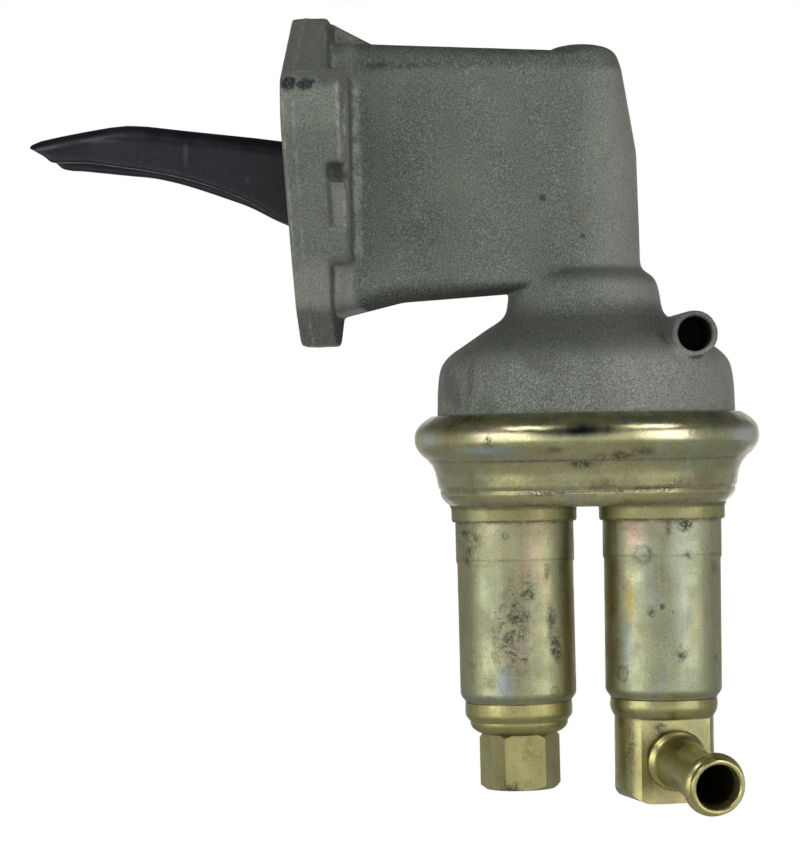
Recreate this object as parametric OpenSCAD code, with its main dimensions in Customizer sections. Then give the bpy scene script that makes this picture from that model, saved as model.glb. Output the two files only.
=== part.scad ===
// Mechanical fuel pump for an engine, worked by a cam.
// Millimetres. The origin is the centre of the two flange bolts, on the flange face.
// +X runs from the flange face to the pump's own axis, +Z is up.
// Heights called zc are measured from the crimp plane, where the cover is rolled over the casting.

/* [Flange] */
// Distance from the flange face to the pump axis
axis_x = 64.2; // [63:0.1:66]
// Distance between the two flange bolts
bolt_spacing = 60; // [58:0.5:61]
// Diameter of the flange bolt holes
bolt_hole_d = 10.4; // [8.5:0.1:10.6]
// Thickness of the flange plate
plate_t = 8.3; // [8:0.1:9]
// Thickness of the flange at the bolt ears
ear_t = 13; // [12:0.1:14]

/* [Casting] */
// Height of the bolt line above the crimp plane
crimp_drop = 67; // [66.5:0.1:67.5]
// Wall thickness of the rocker chamber
wall = 3.6; // [3.2:0.1:3.8]
// Outer radius of the diaphragm bell
bell_r = 33.6; // [33.2:0.1:33.9]

/* [Rocker] */
// Width of the folded rocker arm
arm_w = 14; // [13:0.5:14]
// Sheet thickness of the rocker arm
arm_t = 2.4; // [2:0.1:2.4]
// Distance from the flange face to the pivot pin
pivot_x = 22; // [21.5:0.1:22.5]
// Diameter of the pivot pin
pin_d = 6; // [5.6:0.1:6]

/* [Diaphragm] */
// Diameter of the pull rod
rod_d = 5.2; // [5:0.1:5.2]
// Number of turns of the diaphragm spring
main_turns = 5; // [4:1:6]

/* [Cover and canisters] */
// Distance from the pump axis to each canister's axis
can_x = 16.75; // [16.6:0.05:17]
// Outer diameter of the canisters at the top
can_d = 26.86; // [26.6:0.02:26.9]
// Sheet thickness of the canisters
can_t = 0.9; // [0.8:0.1:1.2]
// Size across the flats of the outlet hexagon
hex_af = 15.9; // [15:0.1:17]

/* [Hose nipple] */
// Outer diameter of the hose nipple
nipple_d = 11.2; // [10.6:0.1:11.4]
// Bore of the hose nipple
nipple_bore = 9.4; // [8.6:0.1:9.4]
// Length of the hose nipple in front of its flat
nipple_len = 27; // [22:0.5:28]
// Turn of the nipple away from straight ahead
nipple_turn = 19; // [10:1:25]
// Droop of the nipple's free end
nipple_droop = 7; // [0:0.5:8]

/* [Hidden] */
$fn = 96;

pivot_zc = 55;                              // height of the pivot pin
pivot_xa = pivot_x - axis_x;                // pivot, seen from the pump axis
cav_y = 13.2 - wall;                        // half width inside the rocker chamber
link_y = 2.5;                               // half thickness of the link
rest_tilt = 4.5;                            // slope of the link at rest
nose_zc = pivot_zc + pivot_xa * tan(rest_tilt);
can_r = can_d / 2;
vent_xa = 24.55;                            // mouth of the vent nipple
vent_y = -24;
vent_zc = 18.2;
vent_turn = 9;
spring_xa = -32;                            // axis of the rocker spring
plate_zc = -7.7;                            // top of the diaphragm's flat centre at rest
rod_hole = rod_d / 2 + 0.05;
lean = 0.42;                                // lean of each canister

function unit(v) = v / norm(v);
// one rounded corner of an outline, as points along its arc
function arc(a, b, c, r, n) =
    let (u = unit(a - b), v = unit(c - b), half = acos(u * v) / 2,
         m = b + unit(u + v) * (r / sin(half)),
         s = b + u * (r / tan(half)) - m, e = b + v * (r / tan(half)) - m,
         a0 = atan2(s[1], s[0]), d = atan2(s[0] * e[1] - s[1] * e[0], s * e))
    [for (i = [0 : n]) m + r * [cos(a0 + d * i / n), sin(a0 + d * i / n)]];
// an outline given as [x, y, corner radius]
function rounded(p, n = 6) = [for (i = [0 : len(p) - 1])
    let (a = p[(i + len(p) - 1) % len(p)], b = p[i], c = p[(i + 1) % len(p)])
    each (b[2] == 0 ? [[b[0], b[1]]]
        : arc([a[0], a[1]], [b[0], b[1]], [c[0], c[1]], b[2], n))];
// a smooth line through a row of points
function spline(p, n = 4) = [for (i = [0 : len(p) - 2])
    let (a = p[max(i - 1, 0)], b = p[i], c = p[i + 1], d = p[min(i + 2, len(p) - 1)])
    each [for (k = [0 : n - 1]) let (t = k / n)
        0.5 * (2 * b + (c - a) * t + (2 * a - 5 * b + 4 * c - d) * t * t
            + (3 * b - a - 3 * c + d) * t * t * t)], p[len(p) - 1]];
function mirrored(p) = [for (q = p) q, for (i = [len(p) - 1 : -1 : 0]) [-p[i][0], p[i][1], p[i][2]]];

module at_axis() translate([axis_x, 0, -crimp_drop]) children();
// a Y-Z outline pushed along X
module along_x(x0, x1) translate([x0, 0, 0]) rotate([90, 0, 90]) linear_extrude(x1 - x0) children();
// an X-Z outline pushed along Y, both ways from the middle plane
module across(half) rotate([90, 0, 0]) translate([0, 0, -half]) linear_extrude(2 * half) children();
module bar_y(r, y0, y1) translate([0, y0, 0]) rotate([-90, 0, 0]) cylinder(r = r, h = y1 - y0);
module ring(ro, ri, z0, z1) translate([0, 0, z0]) difference() {
    cylinder(r = ro, h = z1 - z0);
    translate([0, 0, -1]) cylinder(r = ri, h = z1 - z0 + 2);
}
// a round wire coiled from z0 to z1, with closed ends
module coil(r, wire, turns, z0, z1, sides = 8, steps = 20) {
    n = turns * steps;
    h = z1 - z0 - wire;
    pts = [for (i = [0 : n]) let (a = 360 * i / steps, t = i / n,
               e = min(1, max(0, (t * turns - 0.75) / (turns - 1.5))),
               z = z0 + wire / 2 + h * (0.92 * e + 0.04 * t + 0.04 * min(1, t * 1.0)))
           for (k = [0 : sides - 1]) let (q = 360 * k / sides, rr = r + wire / 2 * cos(q))
           [rr * cos(a), rr * sin(a), z + wire / 2 * sin(q)]];
    faces = [[for (k = [0 : sides - 1]) k], [for (k = [sides - 1 : -1 : 0]) n * sides + k],
        for (i = [0 : n - 1]) for (k = [0 : sides - 1])
            [i * sides + k, (i + 1) * sides + k, (i + 1) * sides + (k + 1) % sides, i * sides + (k + 1) % sides]];
    polyhedron(pts, [for (f = faces) [for (i = [len(f) - 1 : -1 : 0]) f[i]]], convexity = 10);
}

// ---------------------------------------------------------------- casting
flange_half = [[13, 24.3, 3], [39.2, 7.4, 3], [39.2, -2.6, 9], [23, -30, 14], [15, -42, 7], [6, -49.1, 6]];
module flange_outline() polygon(rounded(mirrored(flange_half)));
ear_half = [[33.5, 10.2, 1.5], [39.0, 6.6, 2.5], [39.0, -2.6, 9], [22.8, -30, 1.5], [20, -31.2, 1]];

// a slice across the body: half width, bottom and top
module slice(xa, half, z0, z1, r) translate([xa, 0, 0]) rotate([90, 0, 90]) linear_extrude(0.3)
    polygon(rounded([[half, z0, r], [half, z1, r], [-half, z1, r], [-half, z0, r]], 6));

// a concave corner of radius r, turned to the side s, from z = 0 up to h
module fillet(s, r, h) linear_extrude(h) difference() {
    translate([-0.6, s < 0 ? -r : -0.6]) square([r + 0.6, r + 0.6]);
    translate([r, s * r]) circle(r = r, $fn = 48);
}

bell_out = concat(
    spline([[12.9, 36.6], [12.95, 35.2], [13.35, 34.1], [14.2, 33.3], [15.3, 32.6], [16.3, 31.4], [17.0, 29.2], [17.4, 26.6]], 3),
    spline([[17.6, 25.2], [18.2, 23.8], [19.6, 22.5], [22.2, 20.9], [26.9, 17.7], [30.3, 15.4], [32.3, 13.2], [33.2, 10.6], [bell_r, 6.5]], 3),
    [[bell_r + 0.2, -0.3], [37.2, -0.3], [37.2, -5.7]]);

module upper_housing() color([0.42, 0.43, 0.40]) difference() {
    union() {
        along_x(0, plate_t) flange_outline();
        along_x(plate_t - 1, ear_t) polygon(rounded(mirrored(ear_half), 4));
        // parting line of the casting mould
        along_x(3.0, 3.4) offset(delta = 0.22) flange_outline();
        // small stub left by the gate at the bottom of the flange
        translate([6.2, 0, -48.6]) rotate([0, 0, 0]) cylinder(r = 1.9, h = 1.2, center = true, $fn = 24);
        at_axis() {
            hull() {
                slice(-57, 14.2, 24.5, 86.2, 5);
                slice(-41.9, 13.7, 28.0, 85.3, 5);
            }
            hull() {
                slice(-42.1, 13.7, 27.95, 85.3, 5);
                slice(-12, 12.95, 30.6, 83.3, 4.6);
                translate([0, 0, 31]) cylinder(r = 12.9, h = 8, $fn = 48);
                translate([0, 0, 60]) cylinder(r = 12.5, h = 0.5, $fn = 48);
                translate([0.1, 0, 79.5]) cylinder(r = 9.35, h = 0.2, $fn = 48);
                translate([0.1, 0, 82.2]) cylinder(r = 8.3, h = 0.6, $fn = 48);
            }
            // domed end of the column
            rotate_extrude() polygon(concat([[0, 76], [8.3, 76]],
                spline([[8.4, 82.7], [7.6, 83.6], [6.5, 84.3], [4.9, 84.8], [2.6, 85.2], [0, 85.35]], 3)));
            // gusset between the flange and the top of the body
            across(1.9) polygon([[-56, 80], [-38, 80], [-38, 84.6], [-45.6, 85.8], [-56.4, 91.7], [-60, 91.7], [-60, 80]]);
            // column foot, shoulder and bell
            rotate_extrude($fn = 144) polygon(concat([[0, 36.6]], bell_out, [[0, -5.7]]));
            // boss of the vent nipple, half sunk in the shoulder
            translate([vent_xa, vent_y, vent_zc]) rotate([0, 0, vent_turn]) bar_y(5.15, 0, 21);
            // fillets between the body's near and far faces and the flange, which follow its thickness
            for (s = [-1, 1]) {
                translate([ear_t - axis_x, s * 13.95, 36]) fillet(s, 2.4, 41);
                translate([plate_t - axis_x, s * 14.0, 29]) fillet(s, 2.2, 7);
                translate([plate_t - axis_x, s * 14.0, 77]) fillet(s, 2.2, 6);
            }
        }
    }
    // bolt holes
    for (s = [-1, 1]) translate([-1, s * bolt_spacing / 2, 0]) rotate([0, 90, 0]) cylinder(d = bolt_hole_d, h = ear_t + 2);
    // pockets in the rim of the ears, each with a pad left standing
    for (s = [-1, 1]) difference() {
        translate([plate_t + 0.9, s * 29 - 15, -24]) cube([10, 30, 13.6]);
        along_x(0, 30) translate([-s * 9, 0]) flange_outline();
        intersection() {
            translate([plate_t + 1.6, -50, -24.5]) cube([10, 100, 10.3]);
            along_x(0, 30) translate([-s * 1.6, 0]) flange_outline();
        }
    }
    // arm window and rocker chamber
    along_x(-1, 12) polygon(rounded([[9, -29, 3], [9, 3, 3], [-9, 3, 3], [-9, -29, 3]]));
    at_axis() {
        difference() {
            across(cav_y) polygon(rounded([[-53.2, 30, 3], [2, 34.4, 1], [2, 60, 1], [-9, 64, 3], [-9, 79.6, 3], [-53.2, 81, 3]]));
            // boss that keeps the rocker spring in place
            translate([spring_xa, 0, 78]) cylinder(r = 3.4, h = 5);
        }
        translate([0, 0, 33.5]) cylinder(r = 9.4, h = 27);
        translate([0, 0, 60.4]) cylinder(r1 = 9.4, r2 = 5.8, h = 17);
        // bore of the guide, seat of the seal and the diaphragm chamber
        translate([0, 0, 20]) cylinder(r = rod_d / 2 + 0.4, h = 16);
        translate([0, 0, 20]) cylinder(r = 8, h = 5.4);
        rotate_extrude($fn = 144) polygon(concat([[0, -6]], [[33.4, -6], [33.4, -5.2], [31.2, -4.2]],
            spline([[30.6, 4], [29.6, 9], [26.4, 13.2], [20.5, 16.6], [15, 19.6], [13.4, 20.5]], 3), [[0, 20.5]]));
        // bore of the vent nipple, and its way down into the bell
        translate([vent_xa, vent_y, vent_zc]) rotate([0, 0, vent_turn]) {
            bar_y(3.82, -1, 11.5);
            translate([0, 8.5, -9.2]) cylinder(r = 2.3, h = 10);
        }
        // blind bore of the pivot pin and the seat of its plug
        translate([pivot_xa, 0, pivot_zc]) {
            bar_y(pin_d / 2, -11.6, 16);
            bar_y(4.5, 11.2, 16);
        }
    }
}

// ---------------------------------------------------------------- rocker
arm_top = spline([[-125.7, 65.5], [-123.6, 66.3], [-119, 67.2], [-113, 68.2], [-107.5, 69], [-103.5, 69.3], [-99, 69], [-91, 67.9],
    [-82.5, 66.8], [-74, 65.7], [-66, 64.5], [-58, 63.2], [-50.5, 62.2]], 3);
arm_low = spline([[-66.5, 45.6], [-70.8, 47.5], [-76.4, 50.5], [-82, 52.7], [-87.5, 54.7], [-93, 56.5], [-98.8, 57.9], [-104.4, 58.6],
    [-110, 59.3], [-115.7, 60], [-118.5, 60.2], [-120.6, 60.7]], 3);
arm_side = concat(arm_top, rounded([[-50, 62.2, 0], [-47.6, 65.6, 1.5], [-24, 65.6, 1.5], [-20.5, 63.5, 2], [-22.5, 55.5, 4], [-30, 50.5, 6],
    [-42.2, 44.6, 9], [-55, 46.4, 6], [-62, 45.2, 3], [-64, 45.1, 0]], 5), arm_low, [[-122.4, 62.4], [-125.0, 63.9], [-125.9, 64.8]]);
arm_mid = concat([[-140, 30], [-140, 62.6], [-126, 63]], [for (p = arm_top) if (p[0] > -124) [p[0], p[1] - arm_t]],
    rounded([[-49.6, 59.7, 0], [-46.3, 65.6 - arm_t, 1], [-24, 65.6 - arm_t, 1], [-18, 61, 0], [-10, 30, 0]], 5));
// what is cut off the near wall, which is a little shorter than the far one
arm_cut = concat([[-121.2, 50], [-121.2, 61.1]], spline([[-119.8, 60.9], [-112.3, 60.7], [-105.7, 59.65], [-101.3, 58.97], [-96.9, 58.1],
    [-90.4, 56.65], [-83.8, 54.5], [-79.5, 52.8], [-75.1, 50.8], [-70.8, 48.1], [-67.8, 45.7], [-66.5, 44.3]], 2), [[-66.5, 40]]);
module rocker_arm() color([0.08, 0.09, 0.11]) at_axis() difference() {
    across(arm_w / 2) polygon(arm_side);
    translate([0, -arm_w / 2, 0]) across(arm_t + 0.1) polygon(arm_cut);
    across(arm_w / 2 - arm_t) polygon(arm_mid);
    translate([pivot_xa, 0, pivot_zc]) bar_y(5, -10, 10);
}
module rocker_bush() color([0.70, 0.55, 0.30]) at_axis() translate([pivot_xa, 0, pivot_zc]) difference() {
    bar_y(5, 0.3 - cav_y, cav_y - 0.3);
    bar_y(pin_d / 2 + 0.04, -12, 12);
}
module pivot_pin() color([0.62, 0.63, 0.64]) at_axis() translate([pivot_xa, 0, pivot_zc]) bar_y(pin_d / 2, -11.4, 11.1);
module pivot_plug() color([0.50, 0.50, 0.49]) at_axis() translate([pivot_xa, 0, pivot_zc]) bar_y(4.5, 11.2, 13.2);
module rocker_spring() color([0.45, 0.45, 0.44]) at_axis() translate([spring_xa, 0, 0]) coil(4.6, 1.1, 5, 65.7, 80.1);
module link_lever() color([0.52, 0.52, 0.50]) at_axis() difference() {
    union() {
        translate([pivot_xa, 0, pivot_zc]) bar_y(7.6, -link_y, link_y);
        across(link_y) polygon([[pivot_xa - 12, 58.9], [pivot_xa - 12, 56], [pivot_xa - 4, 49.5], [pivot_xa + 2, 47.5],
            [-14, nose_zc - 3.1], [-5, nose_zc - 2], [0, nose_zc - 2], [0, nose_zc + 2], [-5, nose_zc + 2], [-14, nose_zc + 3.6],
            [pivot_xa + 5, 60.5], [pivot_xa - 3, 62], [pivot_xa - 6.5, 58.9]]);
        translate([0, 0, nose_zc]) bar_y(2.5, -link_y, link_y);
    }
    translate([pivot_xa, 0, pivot_zc]) bar_y(5.04, -5, 5);
}
module link_washers() color([0.60, 0.60, 0.58]) at_axis() translate([pivot_xa, 0, pivot_zc])
    for (s = [-1, 1]) translate([0, s * 3.5, 0]) rotate([90, 0, 0]) difference() {
        cylinder(r = 7.6, h = 1.7, center = true);
        cylinder(r = 5, h = 3, center = true);
    }

// ---------------------------------------------------------------- diaphragm
module pull_rod() color([0.55, 0.55, 0.54]) at_axis() {
    translate([0, 0, -13.4]) cylinder(d = rod_d, h = 60.4);
    difference() {
        translate([-2.6, -5, 46]) cube([5.2, 10, 11.4]);
        translate([-5, -link_y - 0.4, nose_zc - 2.8]) cube([10, 2 * link_y + 0.8, 5.6]);
    }
}
module stem_nut() color([0.55, 0.52, 0.42]) at_axis() difference() {
    translate([0, 0, plate_zc - 6.1]) cylinder(r = 5, h = 3.5, $fn = 6);
    translate([0, 0, plate_zc - 8]) cylinder(d = rod_d, h = 8);
}
module stem_seal() color([0.12, 0.12, 0.12]) at_axis() rotate_extrude()
    polygon([[rod_hole, 21.6], [3.6, 21.6], [4.4, 23.6], [6.6, 23.6], [6.6, 21.4], [8, 21.4], [8, 25.3], [3.4, 25.3], [3.2, 23.6], [rod_hole, 22.6]]);
module seal_retainer() color([0.60, 0.60, 0.55]) at_axis() rotate_extrude()
    polygon([[3.8, 20.6], [7, 20.6], [7, 19.5], [12.6, 19.5], [12.6, 20.5], [8, 20.5], [8, 21.4], [3.8, 21.4]]);
module diaphragm_spring() color([0.50, 0.51, 0.50]) at_axis() coil(10, 1.4, main_turns, plate_zc + 1.5, 19.5);
module diaphragm_upper_plate() color([0.60, 0.58, 0.45]) at_axis() rotate_extrude()
    polygon([[rod_d / 2, plate_zc], [23.5, plate_zc], [25.3, plate_zc + 1], [25.8, plate_zc + 3], [24.6, plate_zc + 3], [24.2, plate_zc + 1.9], [23, plate_zc + 1.5], [rod_d / 2, plate_zc + 1.5]]);
module diaphragm() color([0.10, 0.10, 0.10]) at_axis() rotate_extrude()
    polygon([[rod_d / 2, plate_zc - 1.1], [25, plate_zc - 1.1], [27.5, plate_zc - 1.3], [30.5, -7.2], [33, -6.8], [37.2, -6.8], [37.2, -5.7], [33, -5.7], [30.2, -6.1], [27, plate_zc - 0.2], [25, plate_zc], [rod_d / 2, plate_zc]]);
module diaphragm_lower_plate() color([0.60, 0.58, 0.45]) at_axis() rotate_extrude()
    polygon([[rod_d / 2, plate_zc - 2.6], [22.6, plate_zc - 2.6], [24, plate_zc - 2.2], [24, plate_zc - 1.1], [rod_d / 2, plate_zc - 1.1]]);

// ---------------------------------------------------------------- cover
cover_out = concat(
    [[34.0, 1.3], [35.0, 1.35]],
    spline([[35.4, 1.2], [36.3, 0.6], [37.3, -0.15], [38.15, -1.0], [38.72, -1.95], [39.0, -3.0], [39.03, -4.1], [38.85, -5.2], [38.3, -6.35], [37.4, -7.5], [36.2, -8.55], [35.3, -9.6], [34.75, -10.7]], 3),
    spline([[34.35, -11.8], [34.05, -13.3], [33.75, -15.0], [33.35, -16.5], [32.5, -17.8], [31.2, -18.8], [29.4, -19.1]], 3));
cover_in = [[0, -17.6], [30.2, -17.6], [31.6, -16.9], [32.3, -15.6], [32.7, -12], [33.0, -9.6], [33.4, -8.2], [34.2, -6.8], [37.2, -6.8], [37.2, -0.3], [34.0, -0.3]];
module lower_cover() color([0.66, 0.62, 0.38]) at_axis() difference() {
    union() {
        rotate_extrude($fn = 144) polygon(concat(cover_out, [[0, -19.1]], cover_in));
        for (s = [-1, 1]) translate([s * can_x, 0, 0]) rotate_extrude() polygon(
            [[can_r - 0.6, -18.6], [can_r + 1.4, -18.6], [can_r + 0.9, -19.6], [can_r + 0.8, -20.2], [can_r + 0.8, -22.2], [can_r + 0.55, -22.7], [can_r - 0.6, -22.7]]);
    }
    for (s = [-1, 1]) translate([s * can_x, 0, 0]) {
        translate([0, 0, -24]) cylinder(r = can_r, h = 24 - 19.1);
        translate([0, 0, -24]) cylinder(r = 8.5, h = 10);
    }
}
module valve_seat(z0, z1, lip0, lip1) difference() {
    union() {
        translate([0, 0, z0]) cylinder(r = 8.5, h = z1 - z0);
        translate([0, 0, lip0]) cylinder(r = 9.6, h = lip1 - lip0);
    }
    translate([0, 0, z0 - 1]) cylinder(r = 1, h = z1 - z0 + 3);
    for (a = [0 : 60 : 300]) rotate([0, 0, a]) translate([4.1, 0, z0 - 1]) cylinder(r = 1.6, h = z1 - z0 + 3, $fn = 32);
}
module valve_disc(z0, z1) translate([0, 0, z0]) difference() {
    cylinder(r = 6.8, h = z1 - z0);
    translate([0, 0, -1]) cylinder(r = 1.06, h = 4);
}
module at_can(s) at_axis() translate([s * can_x, 0, 0]) children();
// the canisters and their fittings lean a little towards each other below the collars
module at_low(s) at_can(s) translate([0, 0, -20]) rotate([0, s * lean, 0]) translate([0, 0, 20]) children();
module inlet_valve_seat() color([0.70, 0.58, 0.32]) at_can(1) valve_seat(-20.2, -16.9, -17.6, -16.9);
module inlet_valve_disc() color([0.25, 0.16, 0.10]) at_can(1) valve_disc(-16.85, -15.85);
module inlet_valve_spring() color([0.62, 0.62, 0.60]) at_can(1) coil(2.2, 0.4, 3, -15.85, -13.0, 6, 16);
module inlet_valve_stem() color([0.70, 0.70, 0.66]) at_can(1) {
    translate([0, 0, -20.2]) cylinder(r = 1, h = 7.6, $fn = 48);
    translate([0, 0, -13.0]) cylinder(r = 2.8, h = 0.8, $fn = 48);
}
module outlet_valve_seat() color([0.70, 0.58, 0.32]) at_can(-1) valve_seat(-20.2, -16.9, -17.6, -16.9);
module outlet_valve_disc() color([0.25, 0.16, 0.10]) at_can(-1) valve_disc(-21.25, -20.25);
module outlet_valve_spring() color([0.62, 0.62, 0.60]) at_can(-1) coil(2.2, 0.4, 3, -24.1, -21.25, 6, 16);
module outlet_valve_stem() color([0.70, 0.70, 0.66]) at_can(-1) {
    translate([0, 0, -24.6]) cylinder(r = 1, h = 7.7, $fn = 48);
    translate([0, 0, -24.9]) cylinder(r = 2.8, h = 0.8, $fn = 48);
}

// ---------------------------------------------------------------- canisters
// a drawn cup: step height, end of the straight wall and underside of the floor
module canister(step, low, floor_z) difference() {
    rotate_extrude() polygon(concat([[0, -19.1], [can_r, -19.1], [can_r, step], [can_r - 0.25, step - 0.6]],
        spline([[can_r - 0.27, low], [can_r - 0.4, low - 0.7], [can_r - 0.75, low - 1.3], [can_r - 1.2, low - 1.85]], 3), [[can_r - 1.35, floor_z], [0, floor_z]]));
    translate([0, 0, floor_z + can_t]) cylinder(r = can_r - 1.3 - can_t, h = 60);
    translate([0, 0, floor_z + can_t + 2.6]) cylinder(r = can_r - 0.28 - can_t, h = 60);
    translate([0, 0, floor_z - 1]) cylinder(r = 6, h = 5);
}
module outlet_canister() color([0.64, 0.61, 0.38]) at_low(-1) canister(-31.6, -61.2, -63.4);
module inlet_canister() color([0.64, 0.61, 0.38]) at_low(1) canister(-31.0, -60.6, -62.8);

module outlet_fitting() color([0.66, 0.62, 0.36]) at_low(-1) difference() {
    union() {
        translate([0, 0, -64]) cylinder(r = 6, h = 2.2);
        rotate_extrude() polygon(concat([[0, -63.4], [11.9, -63.4]],
            spline([[12.12, -63.7], [12.17, -64.8], [12.17, -66.0], [12.05, -66.6], [11.7, -67.1], [11.35, -67.5]], 3),
            spline([[11.12, -67.9], [11.08, -68.4], [10.9, -68.95], [10.4, -69.6], [9.5, -70.25], [8.2, -70.8]], 3), [[0, -70.8]]));
        intersection() {
            rotate([0, 0, 11]) translate([0, 0, -83.2]) cylinder(r = hex_af / sqrt(3), h = 13.2, $fn = 6);
            rotate_extrude() polygon([[0, -69.5], [8.0, -70.2], [9.6, -72.0], [9.6, -81.9], [7.9, -83.2], [0, -83.2]]);
        }
    }
    translate([0, 0, -90]) cylinder(r = 3.4, h = 40);
    translate([0, 0, -84]) cylinder(r = 5.75, h = 13.4);
}
module turned() rotate([0, 0, nipple_turn]) children();
module inlet_elbow_block() color([0.66, 0.62, 0.36]) at_low(1) difference() {
    union() {
        translate([0, 0, -64]) cylinder(r = 6, h = 2.2);
        rotate_extrude() polygon(concat([[0, -62.8], [11.8, -62.8]],
            spline([[12.05, -63.1], [12.17, -64.2], [12.1, -65.2], [11.75, -66.2], [11.3, -66.95]], 3),
            [[11.2, -67.3], [11.2, -70], [0, -70]]));
        // the lower body is a cylinder with its two lower corners rounded across the nipple
        intersection() {
            translate([0, 0, -86.4]) cylinder(r = 11.2, h = 18);
            turned() across(12) polygon(rounded([[-11.25, -60, 0], [-11.25, -86.3, 6], [11.25, -86.3, 6], [11.25, -60, 0]]));
        }
    }
    turned() {
        translate([-15, -25, -90]) cube([30, 25 - 7.7, 90 - 67.4]);
        translate([0, 0, -75.6]) rotate([nipple_droop, 0, 0]) {
            bar_y(nipple_d / 2, -20, -4.7);
            bar_y(4.2, -10, 0);
        }
    }
    translate([0, 0, -80]) cylinder(r = 4.6, h = 30);
}
nipple_end = -7.7 - nipple_len;
module inlet_hose_nipple() color([0.66, 0.62, 0.36]) at_low(1) turned() translate([0, 0, -75.6]) rotate([nipple_droop, 0, 0])
    difference() {
        rotate([90, 0, 0]) rotate_extrude() polygon(concat([[0, 4.7], [nipple_d / 2, 4.7]],
            [[nipple_d / 2, 8.7], [nipple_d / 2 + 1.3, 8.6], [nipple_d / 2 + 1.05, 9.3], [nipple_d / 2 + 0.3, 9.9], [nipple_d / 2, 10.6]],
            spline([[nipple_d / 2, -nipple_end - 5.9], [nipple_d / 2 + 0.6, -nipple_end - 5.2], [nipple_d / 2 + 1.3, -nipple_end - 4.0], [nipple_d / 2 + 1.4, -nipple_end - 2.9], [nipple_d / 2 + 0.9, -nipple_end - 1.4], [nipple_d / 2 - 0.1, -nipple_end]], 3),
            [[0, -nipple_end]]));
        bar_y(nipple_bore / 2, nipple_end - 1, -4);
    }

upper_housing();
rocker_arm();
rocker_bush();
pivot_pin();
pivot_plug();
rocker_spring();
link_lever();
link_washers();
pull_rod();
stem_nut();
stem_seal();
seal_retainer();
diaphragm_spring();
diaphragm_upper_plate();
diaphragm();
diaphragm_lower_plate();
lower_cover();
inlet_valve_seat();
inlet_valve_disc();
inlet_valve_spring();
inlet_valve_stem();
outlet_valve_seat();
outlet_valve_disc();
outlet_valve_spring();
outlet_valve_stem();
outlet_canister();
outlet_fitting();
inlet_canister();
inlet_elbow_block();
inlet_hose_nipple();
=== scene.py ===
import math

import bmesh
import bpy
from mathutils import Matrix, Vector, noise


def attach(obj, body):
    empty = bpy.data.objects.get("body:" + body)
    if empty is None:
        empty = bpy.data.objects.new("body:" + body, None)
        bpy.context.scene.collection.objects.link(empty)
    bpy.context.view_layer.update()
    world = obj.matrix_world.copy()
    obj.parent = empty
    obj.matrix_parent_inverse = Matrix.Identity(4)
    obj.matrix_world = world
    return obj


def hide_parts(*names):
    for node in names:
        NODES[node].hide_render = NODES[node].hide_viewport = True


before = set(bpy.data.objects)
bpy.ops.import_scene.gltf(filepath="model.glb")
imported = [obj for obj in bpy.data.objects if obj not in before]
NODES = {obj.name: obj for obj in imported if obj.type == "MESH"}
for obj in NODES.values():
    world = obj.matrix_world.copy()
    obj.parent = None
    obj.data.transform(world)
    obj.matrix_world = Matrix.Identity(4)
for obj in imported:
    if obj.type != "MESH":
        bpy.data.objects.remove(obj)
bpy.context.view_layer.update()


# ------------------------------------------------------------------ camera
# The photograph's own view: a long lens about 0.65 m away, a little to the right of the pump's side
# and level with the rolled rim. Image frame 800 x 847.
AX, CZ = 0.0642, -0.067
RAD = math.pi / 180


def look():
    a, p, r = 4.5 * RAD, 0.63 * RAD, 1.0 * RAD
    focal, dist = 2865.0, 0.651
    fwd = Vector((-math.sin(a) * math.cos(p), math.cos(a) * math.cos(p), math.sin(p)))
    right = Vector((math.cos(a), math.sin(a), 0.0))
    up = right.cross(fwd)
    rr = right * math.cos(r) - up * math.sin(r)
    uu = up * math.cos(r) + right * math.sin(r)
    at = Vector((AX, 0.0, CZ)) - fwd * dist - rr * ((586.0 - 400.0) / focal * dist) + uu * ((420.0 - 423.5) / focal * dist)
    m = Matrix.Identity(4)
    for i in range(3):
        m[i][0], m[i][1], m[i][2], m[i][3] = rr[i], uu[i], -fwd[i], at[i]
    return m, focal


scene = bpy.context.scene
cam_data = bpy.data.cameras.new("camera")
cam = bpy.data.objects.new("camera", cam_data)
scene.collection.objects.link(cam)
cam.matrix_world, focal_px = look()
cam_data.sensor_width = 36.0
cam_data.sensor_fit = "AUTO"
cam_data.lens = focal_px / 847.0 * 36.0
cam_data.clip_start = 0.01
cam_data.clip_end = 50.0
scene.camera = cam
scene.view_settings.view_transform = "Standard"


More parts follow.
